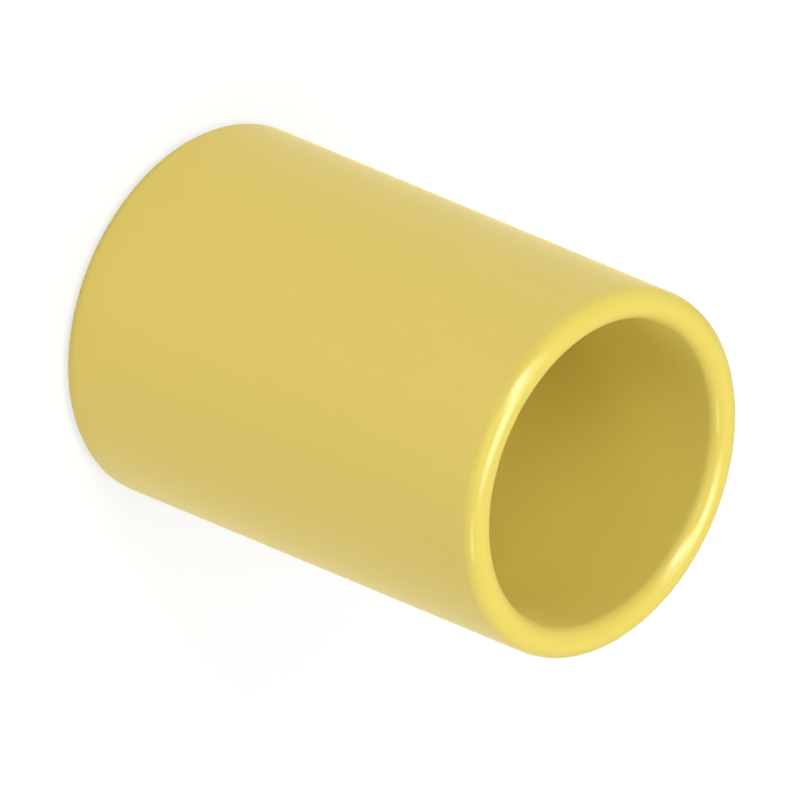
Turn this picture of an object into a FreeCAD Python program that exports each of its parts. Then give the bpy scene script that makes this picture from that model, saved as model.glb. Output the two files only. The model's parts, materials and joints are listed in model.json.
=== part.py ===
import FreeCAD, Part
import math
import os

# A conduit coupling, moulded in one piece from rigid plastic: a short plain sleeve that
# joins two lengths of conduit end to end. Each end is a socket with a full round rim.
# A narrow ring at mid length stops both conduits.
#
# Millimetres. The coupling stands on its lower rim: +Z is the bore's axis, and the origin
# is on that axis, at the level of the surface that the rim rests on.

# The conduit that the sockets take: its outside diameter.
conduit_diameter = 33.4

# The sleeve: its length over both rims, and its wall beside a conduit's seat.
coupling_length = 59.0
wall_thickness = 3.45

# Each socket opens in a slight taper behind its rim and is parallel from there to the stop.
# A clearance is the gap between a conduit and the socket's wall all round. The entry's is
# the taper's at the mouth, and its depth is measured from there.
seat_clearance = 0.05
entry_clearance = 0.15
entry_depth = 8.0

# The stop ring: its width where it meets the wall, its height above the wall, the slope of
# its sides, the radius in the corners at its foot and the radius along its crest.
stop_width = 2.4
stop_height = 1.5
stop_draft_degrees = 4.0
stop_foot_radius = 0.3
stop_crest_radius = 0.4

seat_radius = conduit_diameter / 2 + seat_clearance
entry_radius = conduit_diameter / 2 + entry_clearance
outer_radius = seat_radius + wall_thickness
stop_radius = seat_radius - stop_height
taper_angle = math.atan2(entry_radius - seat_radius, entry_depth)
sharp = 0


def section_point(radius, height):
    """A point of the section: its distance from the axis and its height."""
    return FreeCAD.Vector(radius, 0, height)


def mirrored(point):
    """The same point on the other side of mid length."""
    return section_point(point.x, coupling_length - point.z)


def line(start, end):
    return Part.LineSegment(start, end).toShape()


def arc(start, middle, end):
    return Part.Arc(start, middle, end).toShape()


def rim_arc():
    """The upper rim as one arc that touches the outer wall, the mouth's level and the taper:
    its start on the outer wall, its top and its end on the taper."""
    mouth_wall = outer_radius - entry_radius
    rim_radius = mouth_wall * math.cos(taper_angle) / (1 + math.cos(taper_angle) - math.sin(taper_angle))
    centre = section_point(outer_radius - rim_radius, coupling_length - rim_radius)
    towards_taper = section_point(-math.cos(taper_angle), math.sin(taper_angle))
    start = centre + section_point(rim_radius, 0)
    top = centre + section_point(0, rim_radius)
    return start, top, centre + towards_taper * rim_radius


def corner_arc(before, corner, after, radius):
    """The arc that rounds the corner between two straight sides: its start, middle and end."""
    to_before = (before - corner).normalize()
    to_after = (after - corner).normalize()
    inward = (to_before + to_after).normalize()
    half_angle = to_before.getAngle(to_after) / 2
    start = corner + to_before * (radius / math.tan(half_angle))
    middle = corner + inward * (radius / math.sin(half_angle) - radius)
    end = corner + to_after * (radius / math.tan(half_angle))
    return start, middle, end


def rounded_path(start, corners, end):
    """The edges from start to end by way of the corners, each a point with its radius."""
    points = [start] + [point for point, radius in corners] + [end]
    edges = []
    position = start
    for before, (corner, radius), after in zip(points, corners, points[2:]):
        if radius == sharp:
            edges.append(line(position, corner))
            position = corner
        else:
            arc_start, arc_middle, arc_end = corner_arc(before, corner, after, radius)
            edges.append(line(position, arc_start))
            edges.append(arc(arc_start, arc_middle, arc_end))
            position = arc_end
    edges.append(line(position, end))
    return edges


def wall_section():
    """The wall's closed section on one side of the axis: outside, upper rim, bore with its
    stop ring, and lower rim."""
    side_slope = stop_height * math.tan(math.radians(stop_draft_degrees))
    stop_foot_level = coupling_length / 2 + stop_width / 2
    rim_start, rim_top, rim_end = rim_arc()
    upper_corners = [
        (section_point(seat_radius, coupling_length - entry_depth), sharp),
        (section_point(seat_radius, stop_foot_level), stop_foot_radius),
        (section_point(stop_radius, stop_foot_level - side_slope), stop_crest_radius),
    ]
    lower_corners = [(mirrored(point), radius) for point, radius in reversed(upper_corners)]
    edges = [line(mirrored(rim_start), rim_start)]
    edges.append(arc(rim_start, rim_top, rim_end))
    edges.extend(rounded_path(rim_end, upper_corners + lower_corners, mirrored(rim_end)))
    edges.append(arc(mirrored(rim_end), mirrored(rim_top), mirrored(rim_start)))
    return Part.Face(Part.Wire(edges))


def coupling_body():
    """The whole coupling as one solid: the section turned once round the bore's axis."""
    axis_point = FreeCAD.Vector(0, 0, 0)
    axis_direction = FreeCAD.Vector(0, 0, 1)
    return wall_section().revolve(axis_point, axis_direction, 360)


os.makedirs("parts", exist_ok=True)
coupling_body().exportStep("parts/coupling_body.step")
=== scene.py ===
"""The looks of a moulded plastic conduit coupling, in a plain pale studio.

The coupling stands on its lower rim, with the bore's axis along +Z and the origin on that axis
at the floor. Everything is in metres. The sleeve is turned from its wall's section by a
Geometry Nodes tree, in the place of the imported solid, and one plastic covers it.
"""

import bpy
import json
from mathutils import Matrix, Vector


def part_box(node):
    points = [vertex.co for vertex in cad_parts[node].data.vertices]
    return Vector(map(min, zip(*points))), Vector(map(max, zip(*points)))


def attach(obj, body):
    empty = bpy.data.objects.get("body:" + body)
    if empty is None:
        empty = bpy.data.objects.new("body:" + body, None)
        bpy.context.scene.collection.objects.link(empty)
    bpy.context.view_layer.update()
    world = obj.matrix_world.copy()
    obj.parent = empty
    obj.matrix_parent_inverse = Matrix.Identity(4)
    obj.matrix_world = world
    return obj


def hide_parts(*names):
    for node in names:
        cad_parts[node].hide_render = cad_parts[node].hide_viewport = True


bl_info = {
    "name": "Conduit Coupling",
    "version": (1, 0, 0),
    "blender": (4, 5, 0),
    "location": "3D View > Sidebar > Coupling",
    "description": "Builds a moulded conduit coupling and the studio that it is shown in",
    "category": "Object",
}

import json
import math

import bpy
from bpy.props import FloatProperty, FloatVectorProperty, IntProperty, PointerProperty
from mathutils import Matrix, Vector

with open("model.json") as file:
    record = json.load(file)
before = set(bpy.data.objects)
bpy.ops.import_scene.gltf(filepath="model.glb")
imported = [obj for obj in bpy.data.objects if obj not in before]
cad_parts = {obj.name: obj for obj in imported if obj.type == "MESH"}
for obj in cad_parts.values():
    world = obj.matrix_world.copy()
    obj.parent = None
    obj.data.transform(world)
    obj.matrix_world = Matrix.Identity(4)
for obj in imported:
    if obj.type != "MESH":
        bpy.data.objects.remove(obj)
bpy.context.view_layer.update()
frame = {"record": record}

MM = 0.001
BODY = "root"
SLEEVE_NODE = "coupling_body"
WHITE = (1, 1, 1)

# A softbox has a lamp for its light, one in front of it for its gleam, or both, at these distances
# from the sleeve's middle. Two lamps in one place would hide each other.
LIGHT_DISTANCE = 1.6
GLEAM_DISTANCE = 1.5

# The gaps round the lamp in the lower mouth: from its edge to the wall, and from it to the floor.
MOUTH_LAMP_GAP = 0.5 * MM

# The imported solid's facets fall a little short of its true box, so a length that is read from
# them is rounded to this many decimals of a metre, which is a tenth of a millimetre.
BOX_DECIMALS = 4

# The name of the sleeve's flat map, which a bake of its surface can use.
BAKE_MAP = "OFBake"

# In the one face that closes a round, the corners at the round's start are further than this share
# of the round behind the face's middle. In the other faces no corner is nearly as far.
CLOSING_STEP = 0.25

# Points of the sleeve that are nearer to each other than this are made one. Each rim's two arcs
# meet in such a pair.
SAME_POINT = 0.001 * MM

# A noise goes from 0 to 1 about this middle, and has this many sizes of finer lumps on its main
# ones, each half the one before.
NOISE_MIDDLE = 0.5
NOISE_DETAIL = 2.0

sleeve_low, sleeve_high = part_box(SLEEVE_NODE)
sleeve_middle = (sleeve_low + sleeve_high) / 2
mounts = {mount["name"]: mount for mount in frame["record"]["mounts"]}
upper_seat = mounts["upper_socket"]
seat_top = upper_seat["pos_m"][2] + upper_seat["dims"]["length_mm"] * MM / 2


class SleeveSizes(bpy.types.PropertyGroup):
    """The sleeve's sizes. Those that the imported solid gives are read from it."""

    length: FloatProperty(
        name="Length",
        description="Length of the sleeve over both rims",
        default=round(sleeve_high.z - sleeve_low.z, BOX_DECIMALS),
        unit="LENGTH",
    )
    outer_radius: FloatProperty(
        name="Outer Radius",
        description="Radius of the plain outside",
        default=round(sleeve_high.x, BOX_DECIMALS),
        unit="LENGTH",
    )
    seat_radius: FloatProperty(
        name="Seat Radius",
        description="Radius of each socket where the conduit seats",
        default=upper_seat["dims"]["r_mm"] * MM,
        unit="LENGTH",
    )
    entry_depth: FloatProperty(
        name="Entry Depth",
        description="Depth of the slight taper behind each mouth",
        default=round(sleeve_high.z - seat_top, BOX_DECIMALS),
        unit="LENGTH",
    )
    entry_widening: FloatProperty(
        name="Entry Widening",
        description="How much wider the taper is at the mouth than the seat, on each side",
        default=0.1 * MM,
        unit="LENGTH",
    )
    stop_width: FloatProperty(
        name="Stop Width",
        description="Width of the stop ring where it meets the wall",
        default=2.4 * MM,
        unit="LENGTH",
    )
    stop_height: FloatProperty(
        name="Stop Height",
        description="Height of the stop ring above the wall",
        default=1.5 * MM,
        unit="LENGTH",
    )
    stop_draft: FloatProperty(
        name="Stop Draft",
        description="Slope of the stop ring's sides",
        default=math.radians(4),
        subtype="ANGLE",
    )
    stop_foot_radius: FloatProperty(
        name="Stop Foot Radius",
        description="Radius in the corners at the stop ring's foot",
        default=0.3 * MM,
        unit="LENGTH",
    )
    stop_crest_radius: FloatProperty(
        name="Stop Crest Radius",
        description="Radius along the stop ring's crest",
        default=0.4 * MM,
        unit="LENGTH",
    )
    longest_facet: FloatProperty(
        name="Longest Facet",
        description="Greatest length of a facet along the wall's section",
        default=1.5 * MM,
        unit="LENGTH",
    )
    facets_round: IntProperty(
        name="Facets Round",
        description="Facets round the bore's axis",
        default=288,
        min=12,
    )
    facets_in_corner: IntProperty(
        name="Facets in a Corner",
        description="Facets across each rounded corner of the section",
        default=16,
        min=1,
    )


class PlasticFinish(bpy.types.PropertyGroup):
    """The plastic's colours and gloss."""

    colour: FloatVectorProperty(
        name="Colour",
        description="Colour of the plastic's outer skin",
        default=(0.83, 0.643, 0.137),
        subtype="COLOR",
        min=0,
        max=1,
    )
    # Painted shade: the rims' colour is a little darker and deeper than the wall's, for the way the lamps
    # light the rims.
    rim_colour_painted_shade: FloatVectorProperty(
        name="Rim Colour",
        description="Colour of the rims, where the skin is a little cleaner and deeper",
        default=(0.785, 0.637, 0.113),
        subtype="COLOR",
        min=0,
        max=1,
    )
    # Painted light: the bore's colour is a little less orange than the wall's, and stands in for the
    # light inside the bore.
    bore_colour_painted_light: FloatVectorProperty(
        name="Bore Colour",
        description="Colour of the slightly chalky skin that the mould's core leaves in the bore",
        default=(0.783, 0.652, 0.14),
        subtype="COLOR",
        min=0,
        max=1,
    )
    skin_change: FloatProperty(
        name="Skin Change",
        description="Depth in each rim's inner half over which its skin turns into the bore's",
        default=0.3 * MM,
        unit="LENGTH",
    )
    # Painted shade: the next two distances set where the wall's colour fades into the rims' painted
    # shade.
    rim_shade_start: FloatProperty(
        name="Rim Skin Start",
        description="Distance from each end where the wall's colour begins to turn into the rim's",
        default=2.0 * MM,
        unit="LENGTH",
    )
    rim_shade_end: FloatProperty(
        name="Rim Skin End",
        description="Distance from each end where only the rim's colour is left",
        default=0.85 * MM,
        unit="LENGTH",
    )
    mottling: FloatProperty(
        name="Mottling",
        description="How far the colour wanders, as a share of its brightness",
        default=0.02,
        subtype="FACTOR",
        min=0,
        max=1,
    )
    mottle_size: FloatProperty(
        name="Mottle Size",
        description="Width of the faint patches of colour",
        default=5 * MM,
        unit="LENGTH",
    )
    flow_stretch: FloatProperty(
        name="Flow Stretch",
        description="How much longer along the axis than across it the patches are, as the melt flowed",
        default=3.0,
    )
    roughness: FloatProperty(
        name="Roughness",
        description="Roughness of the outer skin",
        default=0.17,
        subtype="FACTOR",
        min=0,
        max=1,
    )
    bore_roughness: FloatProperty(
        name="Bore Roughness",
        description="Roughness of the bore's skin",
        default=0.4,
        subtype="FACTOR",
        min=0,
        max=1,
    )
    roughness_drift: FloatProperty(
        name="Roughness Drift",
        description="How far the roughness wanders",
        default=0.05,
        subtype="FACTOR",
        min=0,
        max=1,
    )
    drift_size: FloatProperty(
        name="Drift Size",
        description="Width of the patches in which the roughness wanders",
        default=1.7 * MM,
        unit="LENGTH",
    )
    refraction: FloatProperty(
        name="Refractive Index",
        description="How strongly the plastic mirrors its surroundings",
        default=1.53,
    )
    sheen: FloatProperty(
        name="Sheen",
        description="Strength of the soft sheen that keeps the skin bright where it turns away",
        default=1.0,
        subtype="FACTOR",
        min=0,
        max=1,
    )
    bore_sheen: FloatProperty(
        name="Bore Sheen",
        description="Strength of the same sheen on the bore's skin",
        default=0.3,
        subtype="FACTOR",
        min=0,
        max=1,
    )
    sheen_roughness: FloatProperty(
        name="Sheen Roughness",
        description="How far in from the edge of the view the sheen reaches",
        default=0.34,
        subtype="FACTOR",
        min=0,
        max=1,
    )
    sheen_tint: FloatVectorProperty(
        name="Sheen Tint",
        description="Colour of the sheen",
        default=(1.0, 0.84, 0.3),
        subtype="COLOR",
        min=0,
        max=1,
    )
    ripple_size: FloatProperty(
        name="Ripple Size",
        description="Width of the skin's faint ripples",
        default=1.4 * MM,
        unit="LENGTH",
    )
    ripple_depth: FloatProperty(
        name="Ripple Depth",
        description="Depth of the skin's faint ripples",
        default=0.003 * MM,
        unit="LENGTH",
    )


class StudioSettings(bpy.types.PropertyGroup):
    """The floor, the light and the picture's view."""

    floor_size: FloatProperty(
        name="Floor Size",
        description="Width of the square floor",
        default=8.0,
        unit="LENGTH",
    )
    floor_colour: FloatVectorProperty(
        name="Floor Colour",
        description="Colour of the floor in the light that it gives back to the coupling",
        default=(0.72, 0.72, 0.72),
        subtype="COLOR",
        min=0,
        max=1,
    )
    floor_glow: FloatProperty(
        name="Floor Glow",
        description="Brightness of the light that the floor gives of its own, as a light table does",
        default=0.078,
    )
    mouth_light: FloatProperty(
        name="Mouth Light",
        description="Brightness of the light that comes up the bore from its lower mouth",
        default=0.274,
    )
    surroundings: FloatProperty(
        name="Surroundings",
        description="Brightness of the even light from all round",
        default=0.262,
    )
    mirrored_room: FloatProperty(
        name="Mirrored Room",
        description="Brightness of the room where the plastic's gloss sees it",
        default=0.39,
    )
    mirrored_floor: FloatProperty(
        name="Mirrored Floor",
        description="Brightness of the floor where the plastic's gloss sees it",
        default=0.48,
    )
    shadow_fading: FloatProperty(
        name="Shadow Fading",
        description="How much paler the shadow on the floor is shown than it falls",
        default=0.7,
        subtype="FACTOR",
        min=0,
        max=1,
    )
    view_elevation: FloatProperty(
        name="View Elevation",
        description="Angle of the view above the horizon",
        default=math.radians(38.33),
        subtype="ANGLE",
    )
    view_roll: FloatProperty(
        name="View Roll",
        description="Turn of the camera about its line of sight, which lays the axis down in the picture",
        default=math.radians(112.59),
        subtype="ANGLE",
    )
    picture_size: FloatProperty(
        name="Picture Size",
        description="Width of the parallel view",
        default=82.96 * MM,
        unit="LENGTH",
    )
    aim_right: FloatProperty(
        name="Aim Right",
        description="How far to the right of the sleeve's middle the camera aims",
        default=-0.177 * MM,
        unit="LENGTH",
    )
    aim_up: FloatProperty(
        name="Aim Up",
        description="How far above the sleeve's middle the camera aims",
        default=-0.934 * MM,
        unit="LENGTH",
    )
    camera_distance: FloatProperty(
        name="Camera Distance",
        description="Distance of the camera from the sleeve's middle, which a parallel view doesn't show",
        default=0.5,
        unit="LENGTH",
    )


class Wire:
    """An output of a node. Arithmetic on wires adds Math nodes to their tree."""

    def __init__(self, tree, socket):
        self.tree = tree
        self.socket = socket

    def out(self, name, kind=None):
        """Another output of the same node, by name and, where several share it, by kind."""
        outputs = self.socket.node.outputs
        found = [output for output in outputs if output.name == name and kind in {None, output.type}]
        return Wire(self.tree, found[0])

    def __add__(self, other):
        return self.tree.maths("ADD", self, other)

    def __radd__(self, other):
        return self.tree.maths("ADD", other, self)

    def __sub__(self, other):
        return self.tree.maths("SUBTRACT", self, other)

    def __rsub__(self, other):
        return self.tree.maths("SUBTRACT", other, self)

    def __mul__(self, other):
        return self.tree.maths("MULTIPLY", self, other)

    def __rmul__(self, other):
        return self.tree.maths("MULTIPLY", other, self)

    def __truediv__(self, other):
        return self.tree.maths("DIVIDE", self, other)

    def __rtruediv__(self, other):
        return self.tree.maths("DIVIDE", other, self)


class Tree:
    """A node tree of any kind, filled one node at a time."""

    def __init__(self, node_tree):
        self.node_tree = node_tree

    def feed(self, socket, value):
        """Links a wire to an input, or sets the input's own value."""
        if isinstance(value, Wire):
            self.node_tree.links.new(value.socket, socket)
        else:
            socket.default_value = value

    def add(self, kind, settings=None, inputs=None):
        """Adds a node, sets its settings first and its inputs next, and gives its first output."""
        node = self.node_tree.nodes.new(kind)
        for name, value in (settings or {}).items():
            setattr(node, name, value)
        for name, value in (inputs or {}).items():
            self.feed(node.inputs[name], value)
        return Wire(self, node.outputs[0]) if node.outputs else None

    def maths(self, operation, first, second=0.0):
        """A Math node on numbers."""
        return self.add("ShaderNodeMath", {"operation": operation}, {0: first, 1: second})

    def vector_maths(self, operation, first, second):
        """A Vector Math node. Distances and lengths are at its output Value."""
        return self.add("ShaderNodeVectorMath", {"operation": operation}, {0: first, 1: second})

    def mix_colours(self, factor, first, second):
        """The first colour where the factor is 0, and the second where it is 1."""
        first, second = [
            colour if isinstance(colour, Wire) else (*colour, 1) for colour in (first, second)
        ]
        # The node's two colours share their names with other inputs, so they go by place.
        mixed = self.add("ShaderNodeMix", {"data_type": "RGBA"}, {"Factor": factor, 6: first, 7: second})
        return mixed.out("Result", "RGBA")

    def mix_shaders(self, factor, first, second):
        """The first shader where the factor is 0, and the second where it is 1."""
        return self.add("ShaderNodeMixShader", inputs={0: factor, 1: first, 2: second})

    def fade_in(self, value, start, end):
        """0 up to where the value is at the start, 1 from where it is at the end, and a smooth
        change between them."""
        return self.add(
            "ShaderNodeMapRange",
            {"interpolation_type": "SMOOTHSTEP"},
            {"Value": value, "From Min": start, "From Max": end},
        )

    def noise(self, place, size, stretch=1):
        """Smooth noise from 0 to 1 whose lumps have that size across and are longer along Z."""
        scale = (1 / size, 1 / size, 1 / (size * stretch))
        stretched = self.add("ShaderNodeMapping", inputs={"Vector": place, "Scale": scale})
        return self.add(
            "ShaderNodeTexNoise",
            inputs={"Vector": stretched, "Scale": 1.0, "Detail": NOISE_DETAIL},
        )

    def capture(self, geometry, name, value):
        """Keeps a number on a geometry's points, and gives the geometry and the number as kept."""
        kept = self.add("GeometryNodeCaptureAttribute", inputs={"Geometry": geometry})
        node = kept.socket.node
        node.capture_items.new("FLOAT", name)
        self.feed(node.inputs[name], value)
        return kept, kept.out(name)

    def pick(self, index, values):
        """The one of the values that stands at the index."""
        picked = self.add("GeometryNodeIndexSwitch", {"data_type": "FLOAT"}, {"Index": index})
        node = picked.socket.node
        while len(node.index_switch_items) < len(values):
            node.index_switch_items.new()
        for place, value in enumerate(values):
            self.feed(node.inputs[str(place)], value)
        return picked


def new_tree_inputs(node_tree, group):
    """Gives a Geometry Nodes tree one input for each size in a property group."""
    kinds = {"FLOAT": "NodeSocketFloat", "INT": "NodeSocketInt"}
    for name, size in size_properties(group):
        node_tree.interface.new_socket(size.name, in_out="INPUT", socket_type=kinds[size.type])


def size_properties(group):
    """The sizes that a property group holds, each with its name in the script."""
    return [(size.identifier, size) for size in group.bl_rna.properties if size.type in {"FLOAT", "INT"}]


def section_corners(tree, given):
    """The corners of the wall's section from the outside in, above mid length. Each is its
    distance from the axis, its height above mid length and the radius that rounds it."""
    outer = given.out("Outer Radius")
    seat = given.out("Seat Radius")
    entry = seat + given.out("Entry Widening")
    half_length = given.out("Length") / 2

    slope = tree.maths("ARCTAN2", given.out("Entry Widening"), given.out("Entry Depth"))
    slope_cosine = tree.maths("COSINE", slope)
    rim_radius = (outer - entry) * slope_cosine / (1 + slope_cosine - tree.maths("SINE", slope))

    stop_foot = given.out("Stop Width") / 2
    stop_crest = stop_foot - given.out("Stop Height") * tree.maths("TANGENT", given.out("Stop Draft"))
    return [
        (outer, half_length, rim_radius),
        (entry, half_length, rim_radius),
        (seat, half_length - given.out("Entry Depth"), 0.0),
        (seat, stop_foot, given.out("Stop Foot Radius")),
        (seat - given.out("Stop Height"), stop_crest, given.out("Stop Crest Radius")),
    ]


def wall_section(tree, given):
    """The wall's closed section as a curve. Its X is how far it lies past the sleeve's outside, so
    it is 0 or less, and its Y is the height above mid length."""
    corners = section_corners(tree, given)
    radii, heights, rounds = zip(*corners)
    point_count = 2 * len(corners)
    point = tree.add("GeometryNodeInputIndex")
    below = tree.maths("GREATER_THAN", point, len(corners) - 1)
    # The lower half goes through the same corners backwards, mirrored.
    corner = point + below * (point_count - 1 - 2 * point)
    place = tree.add(
        "ShaderNodeCombineXYZ",
        inputs={
            "X": tree.pick(corner, radii) - given.out("Outer Radius"),
            "Y": tree.pick(corner, heights) * (1 - 2 * below),
        },
    )
    points = tree.add("GeometryNodeMeshLine", inputs={"Count": point_count})
    placed = tree.add("GeometryNodeSetPosition", inputs={"Geometry": points, "Position": place})
    opened = tree.add("GeometryNodeMeshToCurve", inputs={"Mesh": placed})
    closed = tree.add("GeometryNodeSetSplineCyclic", inputs={"Geometry": opened, "Cyclic": True})
    return tree.add(
        "GeometryNodeFilletCurve",
        {"mode": "POLY"},
        {
            "Curve": closed,
            "Count": given.out("Facets in a Corner"),
            "Radius": tree.pick(corner, rounds),
            "Limit Radius": True,
        },
    )


def split_long_runs(tree, section, longest):
    """Cuts each straight run of the section that is longer than the longest facet."""
    here = tree.add("GeometryNodeInputPosition")
    next_point = tree.add("GeometryNodeOffsetPointInCurve", inputs={"Offset": 1}).out("Point Index")
    there = tree.add(
        "GeometryNodeFieldAtIndex", {"data_type": "FLOAT_VECTOR"}, {"Index": next_point, "Value": here}
    )
    run = tree.vector_maths("DISTANCE", here, there).out("Value")
    cuts = tree.maths("FLOOR", run / longest)
    return tree.add("GeometryNodeSubdivideCurve", inputs={"Curve": section, "Cuts": cuts})


def unrolled(tree, share):
    """A share of the way round a closed curve, kept at its points, as the corners of the faces
    need it: in the face that closes the round, the corners at the start are at 1 and not at 0."""
    middle = tree.add("GeometryNodeFieldOnDomain", {"domain": "FACE"}, {"Value": share})
    closes = tree.maths("GREATER_THAN", middle - share, CLOSING_STEP)
    return share + closes


def laid_flat(tree, geometry, round_axis, along_section):
    """The geometry with a flat map of it, in which each round runs once across the map."""
    flat_place = tree.add(
        "ShaderNodeCombineXYZ",
        inputs={"X": unrolled(tree, round_axis), "Y": unrolled(tree, along_section)},
    )
    return tree.add(
        "GeometryNodeStoreNamedAttribute",
        {"data_type": "FLOAT2", "domain": "CORNER"},
        {"Geometry": geometry, "Name": BAKE_MAP, "Value": flat_place},
    )


def sleeve_lathe(sizes, plastic):
    """The tree that turns the wall's section once round the bore's axis and maps the result."""
    node_tree = bpy.data.node_groups.new("Sleeve Lathe", "GeometryNodeTree")
    new_tree_inputs(node_tree, sizes)
    node_tree.interface.new_socket("Sleeve", in_out="OUTPUT", socket_type="NodeSocketGeometry")
    tree = Tree(node_tree)
    given = tree.add("NodeGroupInput")

    section = split_long_runs(tree, wall_section(tree, given), given.out("Longest Facet"))
    section, along_section = tree.capture(section, "Along", tree.add("GeometryNodeSplineParameter"))
    circle = tree.add(
        "GeometryNodeCurvePrimitiveCircle",
        {"mode": "RADIUS"},
        {"Resolution": given.out("Facets Round"), "Radius": given.out("Outer Radius")},
    )
    circle, round_axis = tree.capture(circle, "Round", tree.add("GeometryNodeSplineParameter"))
    turned = tree.add("GeometryNodeCurveToMesh", inputs={"Curve": circle, "Profile Curve": section})
    mapped = laid_flat(tree, turned, round_axis, along_section)
    sealed = tree.add("GeometryNodeMergeByDistance", inputs={"Geometry": mapped, "Distance": SAME_POINT})
    mid_length = tree.add("ShaderNodeCombineXYZ", inputs={"Z": given.out("Length") / 2})
    stood = tree.add("GeometryNodeTransform", inputs={"Geometry": sealed, "Translation": mid_length})
    smooth = tree.add("GeometryNodeSetShadeSmooth", inputs={"Geometry": stood, "Shade Smooth": True})
    real = tree.add("GeometryNodeRealizeInstances", inputs={"Geometry": smooth})
    covered = tree.add("GeometryNodeSetMaterial", inputs={"Geometry": real, "Material": plastic})
    tree.add("NodeGroupOutput", inputs={"Sleeve": covered})
    return node_tree


def made_by_tree(name, node_tree, group):
    """A plain mesh object that a Geometry Nodes tree makes from the sizes in a property group."""
    piece = bpy.data.objects.new(name, bpy.data.meshes.new(name))
    bpy.context.scene.collection.objects.link(piece)
    modifier = piece.modifiers.new(node_tree.name, "NODES")
    modifier.node_group = node_tree
    identifiers = {item.name: item.identifier for item in node_tree.interface.items_tree}
    for name_in_script, size in size_properties(group):
        modifier[identifiers[size.name]] = getattr(group, name_in_script)
    evaluated = piece.evaluated_get(bpy.context.evaluated_depsgraph_get())
    mesh = bpy.data.meshes.new_from_object(evaluated)
    piece.modifiers.remove(modifier)
    piece.data = mesh
    mesh.name = name
    return piece


def moulded_plastic(finish, sizes):
    """The plastic: a satin skin with a soft sheen and the faint mottling and ripples of moulding.
    Its rims have a darker, deeper colour of painted shade, and its bore is duller, with a less orange
    colour of painted light."""
    material = bpy.data.materials.new("Moulded Plastic")
    material.use_nodes = True
    material.node_tree.nodes.clear()
    tree = Tree(material.node_tree)
    place = tree.add("ShaderNodeTexCoord").out("Object")
    in_bore = bore_share(tree, place, sizes, finish)
    on_rim = rim_share(tree, place, sizes, finish)

    patches = tree.noise(place, finish.mottle_size, finish.flow_stretch)
    shade = 1 + finish.mottling * (patches - NOISE_MIDDLE)
    # Painted shade: the rims take their darker, deeper colour for the way the light falls on them.
    outside = tree.mix_colours(on_rim, finish.colour, finish.rim_colour_painted_shade)
    # Painted light: the bore takes its less orange colour for the light inside it.
    skin = tree.mix_colours(in_bore, outside, finish.bore_colour_painted_light)
    colour = tree.add("ShaderNodeVectorMath", {"operation": "SCALE"}, {0: skin, "Scale": shade})

    even_roughness = finish.roughness + in_bore * (finish.bore_roughness - finish.roughness)
    drift = tree.noise(place, finish.drift_size, finish.flow_stretch)
    roughness = even_roughness + finish.roughness_drift * (drift - NOISE_MIDDLE)

    ripples = tree.noise(place, finish.ripple_size)
    normal = tree.add("ShaderNodeBump", inputs={"Distance": finish.ripple_depth, "Height": ripples})
    body = {"Base Color": colour, "Roughness": roughness, "IOR": finish.refraction, "Normal": normal}
    bloom = {"Sheen Roughness": finish.sheen_roughness, "Sheen Tint": (*finish.sheen_tint, 1)}
    # A shader's sheen is the same all over, so the bore's weaker one takes a second shader.
    outer_skin, bore_skin = [
        tree.add("ShaderNodeBsdfPrincipled", inputs={**body, **bloom, "Sheen Weight": sheen})
        for sheen in (finish.sheen, finish.bore_sheen)
    ]
    plastic = tree.mix_shaders(in_bore, outer_skin, bore_skin)
    tree.add("ShaderNodeOutputMaterial", inputs={"Surface": plastic})
    return material


def rim_share(tree, place, sizes, finish):
    """Where the rims' painted shade goes: 1 over both rims and 0 on the wall between them, with the
    change where a rim's round starts.
    """
    half_length = sizes.length / 2
    height = tree.add("ShaderNodeSeparateXYZ", inputs={"Vector": place}).out("Z")
    from_middle = tree.maths("ABSOLUTE", height - half_length)
    fade_start = half_length - finish.rim_shade_start
    fade_end = half_length - finish.rim_shade_end
    return tree.fade_in(from_middle, fade_start, fade_end)


def bore_share(tree, place, sizes, finish):
    """1 on the bore's wall and 0 outside, with the change on the innermost part of each rim."""
    mouth_radius = sizes.seat_radius + sizes.entry_widening
    across = tree.vector_maths("MULTIPLY", place, (1, 1, 0))
    radius = tree.add("ShaderNodeVectorMath", {"operation": "LENGTH"}, {0: across}).out("Value")
    return 1 - tree.fade_in(radius, mouth_radius, mouth_radius + finish.skin_change)


def floor_material(studio):
    """A matt floor with a soft glow. The camera sees it white, with a faint shadow, the gloss sees
    it evenly bright, and from below it can't be seen."""
    material = bpy.data.materials.new("Studio Floor")
    material.cycles.emission_sampling = "NONE"
    material.use_nodes = True
    material.node_tree.nodes.clear()
    tree = Tree(material.node_tree)
    rays = tree.add("ShaderNodeLightPath")
    seen = rays.out("Is Camera Ray")
    colour = tree.mix_colours(seen, studio.floor_colour, WHITE)
    lit = tree.add("ShaderNodeBsdfDiffuse", inputs={"Color": colour})
    brightness = studio.mirrored_floor + seen * (1 - studio.mirrored_floor)
    even = tree.add("ShaderNodeEmission", inputs={"Strength": brightness})
    glow_seen = studio.floor_glow * rays.out("Is Diffuse Ray")
    glow = tree.add("ShaderNodeEmission", inputs={"Strength": glow_seen})
    glowing = tree.add("ShaderNodeAddShader", inputs={0: lit, 1: glow})
    evenness = tree.maths("MAXIMUM", rays.out("Is Glossy Ray"), seen * studio.shadow_fading)
    shown = tree.mix_shaders(evenness, glowing, even)
    clear = tree.add("ShaderNodeBsdfTransparent")
    behind = tree.add("ShaderNodeNewGeometry").out("Backfacing")
    floor = tree.mix_shaders(behind, shown, clear)
    tree.add("ShaderNodeOutputMaterial", inputs={"Surface": floor})
    return material


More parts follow.
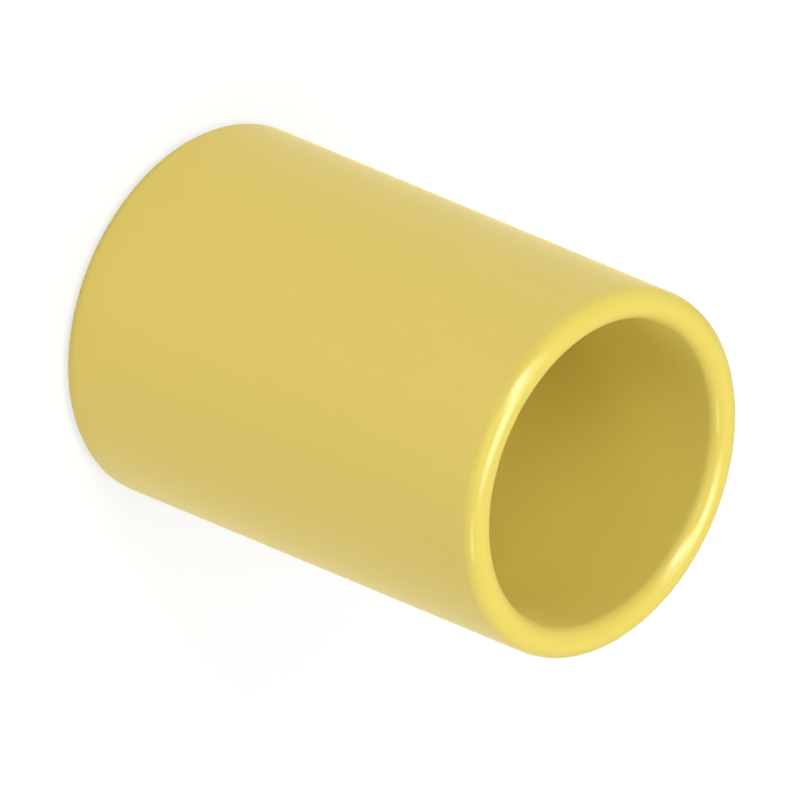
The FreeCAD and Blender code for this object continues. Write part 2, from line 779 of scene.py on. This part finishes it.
def light_the_room(studio):
    """An even white room: plain white to the camera, and dimmer in its light and in the gloss."""
    world = bpy.data.worlds.new("Studio Room")
    world.use_nodes = True
    world.node_tree.nodes.clear()
    tree = Tree(world.node_tree)
    rays = tree.add("ShaderNodeLightPath")
    seen = tree.maths("MAXIMUM", rays.out("Is Camera Ray"), rays.out("Is Transmission Ray"))
    mirrored = rays.out("Is Glossy Ray")
    strength = studio.surroundings + seen * (1 - studio.surroundings)
    strength = strength + mirrored * (studio.mirrored_room - studio.surroundings)
    room = tree.add("ShaderNodeBackground", inputs={"Color": (*WHITE, 1), "Strength": strength})
    tree.add("ShaderNodeOutputWorld", inputs={"Surface": room})
    bpy.context.scene.world = world


def direction(azimuth, elevation):
    """The direction to a place in the room. Azimuth 0 is the camera's side, and 90 is +X."""
    across, up = math.radians(azimuth), math.radians(elevation)
    return Vector((math.sin(across) * math.cos(up), -math.cos(across) * math.cos(up), math.sin(up)))


def hang_softboxes():
    """The softboxes. Each start and end is an azimuth with an elevation, and each width is an angle,
    all in degrees."""
    hang_softbox("key_softbox", start=(-28, 24), end=(-50, 74), width=16, light=0.385, gleam=0.24)
    hang_softbox("key_centre", start=(-31, 36), end=(-43, 65), width=8, gleam=0.05)
    hang_softbox("wide_softbox", start=(-27, 16), end=(175, 66), width=30, gleam=0.6)
    hang_softbox("overhead_softbox", start=(0, 64), end=(180, 74), width=22, light=0.49, gleam=0.24)
    hang_softbox("overhead_side", start=(25, 57), end=(117, 77), width=18, gleam=0.14)
    hang_softbox("front_softbox", start=(7, 11), end=(14, 49), width=40, light=0.045, gleam=0.09)
    hang_softbox("side_softbox", start=(77, 26), end=(57, 37), width=16, light=0.1, gleam=0.064)
    hang_softbox("left_strip", start=(-105, 17), end=(-155, 17), width=25, light=0.162)
    hang_softbox("right_strip", start=(105, 17), end=(155, 17), width=25, light=0.315)


def hang_softbox(name, start, end, width, light=0.0, gleam=0.0):
    """A rounded softbox that runs from one direction to another and faces the sleeve's middle. Its
    width is an angle as seen from there. Its light is how bright it makes a white surface there
    that faces it, where 1 shows as white, and its gleam is the same measure of the lamp that
    only the plastic's gloss shows."""
    if light:
        lamp = hang_lamp(f"{name}_light", start, end, width, light, LIGHT_DISTANCE)
        lamp.visible_glossy = False
    if gleam:
        lamp = hang_lamp(f"{name}_gleam", start, end, width, gleam, GLEAM_DISTANCE)
        lamp.visible_diffuse = False


def hang_lamp(name, start, end, width, level, distance):
    """One lamp of a softbox. Its two ends are at that distance from the sleeve's middle, and its
    level is the softbox's light or gleam."""
    start_point = direction(*start) * distance
    end_point = direction(*end) * distance
    along = (end_point - start_point).normalized()
    outwards = (start_point + end_point).normalized()
    reach = (start_point + end_point).length / 2
    facing = Matrix((along, outwards.cross(along), outwards)).transposed().to_4x4()

    data = bpy.data.lights.new(name, "AREA")
    data.shape = "ELLIPSE"
    data.size = (end_point - start_point).length
    data.size_y = 2 * reach * math.tan(math.radians(width) / 2)
    data.energy = level * (math.pi * reach) ** 2
    return set_in_scene(data, Matrix.Translation(sleeve_middle + outwards * reach) @ facing)


def set_in_scene(data, stance):
    """A lamp or a camera as an object in the scene. It points along the -Z of its stance."""
    item = bpy.data.objects.new(data.name, data)
    item.matrix_world = stance
    bpy.context.scene.collection.objects.link(item)
    return item


def light_the_lower_mouth(studio, sizes):
    """A lamp that lies in the lower mouth and gives the bore the light that an open end lets in."""
    data = bpy.data.lights.new("lower_mouth", "AREA")
    data.shape = "DISK"
    data.size = 2 * (sizes.seat_radius - MOUTH_LAMP_GAP)
    data.energy = studio.mouth_light * (math.pi * data.size / 2) ** 2
    face_up = Matrix.Rotation(math.pi, 4, "X")
    lamp = set_in_scene(data, Matrix.Translation((0, 0, MOUTH_LAMP_GAP)) @ face_up)
    lamp.visible_glossy = False


def set_camera(studio):
    """The camera of the picture: a parallel view of the sleeve, turned about its line of sight."""
    data = bpy.data.cameras.new("Picture")
    data.type = "ORTHO"
    data.ortho_scale = studio.picture_size
    tilt = Matrix.Rotation(math.pi / 2 - studio.view_elevation, 4, "X")
    turn = tilt @ Matrix.Rotation(studio.view_roll, 4, "Z")
    offset = Vector((studio.aim_right, studio.aim_up, studio.camera_distance))
    stance = Matrix.Translation(sleeve_middle) @ turn @ Matrix.Translation(offset)
    bpy.context.scene.camera = set_in_scene(data, stance)


class BuildSleeve(bpy.types.Operator):
    """Turn the sleeve from its wall's section and cover it with the plastic"""

    bl_idname = "coupling.build_sleeve"
    bl_label = "Sleeve"

    def execute(self, context):
        sizes = context.scene.coupling_sleeve
        plastic = moulded_plastic(context.scene.coupling_plastic, sizes)
        sleeve = made_by_tree("sleeve", sleeve_lathe(sizes, plastic), sizes)
        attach(sleeve, BODY)
        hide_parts(SLEEVE_NODE)
        return {"FINISHED"}


class BuildStudio(bpy.types.Operator):
    """Lay the floor, light the room and place the camera"""

    bl_idname = "coupling.build_studio"
    bl_label = "Studio"

    def execute(self, context):
        studio = context.scene.coupling_studio
        half = studio.floor_size / 2
        corners = [(-half, -half, 0), (half, -half, 0), (half, half, 0), (-half, half, 0)]
        mesh = bpy.data.meshes.new("studio_floor")
        mesh.from_pydata(corners, [], [(0, 1, 2, 3)])
        mesh.materials.append(floor_material(studio))
        floor = bpy.data.objects.new("studio_floor", mesh)
        context.scene.collection.objects.link(floor)
        light_the_room(studio)
        hang_softboxes()
        light_the_lower_mouth(studio, context.scene.coupling_sleeve)
        set_camera(studio)
        context.scene.view_settings.view_transform = "Standard"
        return {"FINISHED"}


class CouplingPanel(bpy.types.Panel):
    """The coupling's sizes and the buttons that build it"""

    bl_idname = "COUPLING_PT_build"
    bl_label = "Conduit Coupling"
    bl_space_type = "VIEW_3D"
    bl_region_type = "UI"
    bl_category = "Coupling"

    def draw(self, context):
        for group_name, operator in PANEL_PARTS:
            box = self.layout.box()
            group = getattr(context.scene, group_name)
            for setting in group.bl_rna.properties:
                if setting.identifier not in {"rna_type", "name"}:
                    box.prop(group, setting.identifier)
            if operator:
                box.operator(operator.bl_idname)


PROPERTY_GROUPS = {
    "coupling_sleeve": SleeveSizes,
    "coupling_plastic": PlasticFinish,
    "coupling_studio": StudioSettings,
}
OPERATORS = [BuildSleeve, BuildStudio]
PANEL_PARTS = [
    ("coupling_plastic", None),
    ("coupling_sleeve", BuildSleeve),
    ("coupling_studio", BuildStudio),
]


def register():
    for name, group in PROPERTY_GROUPS.items():
        bpy.utils.register_class(group)
        setattr(bpy.types.Scene, name, PointerProperty(type=group))
    for operator in OPERATORS:
        bpy.utils.register_class(operator)
    bpy.utils.register_class(CouplingPanel)


def unregister():
    bpy.utils.unregister_class(CouplingPanel)
    for operator in reversed(OPERATORS):
        bpy.utils.unregister_class(operator)
    for name, group in PROPERTY_GROUPS.items():
        delattr(bpy.types.Scene, name)
        bpy.utils.unregister_class(group)


def main():
    register()
    bpy.ops.coupling.build_sleeve()
    bpy.ops.coupling.build_studio()


if __name__ == "__main__":
    main()
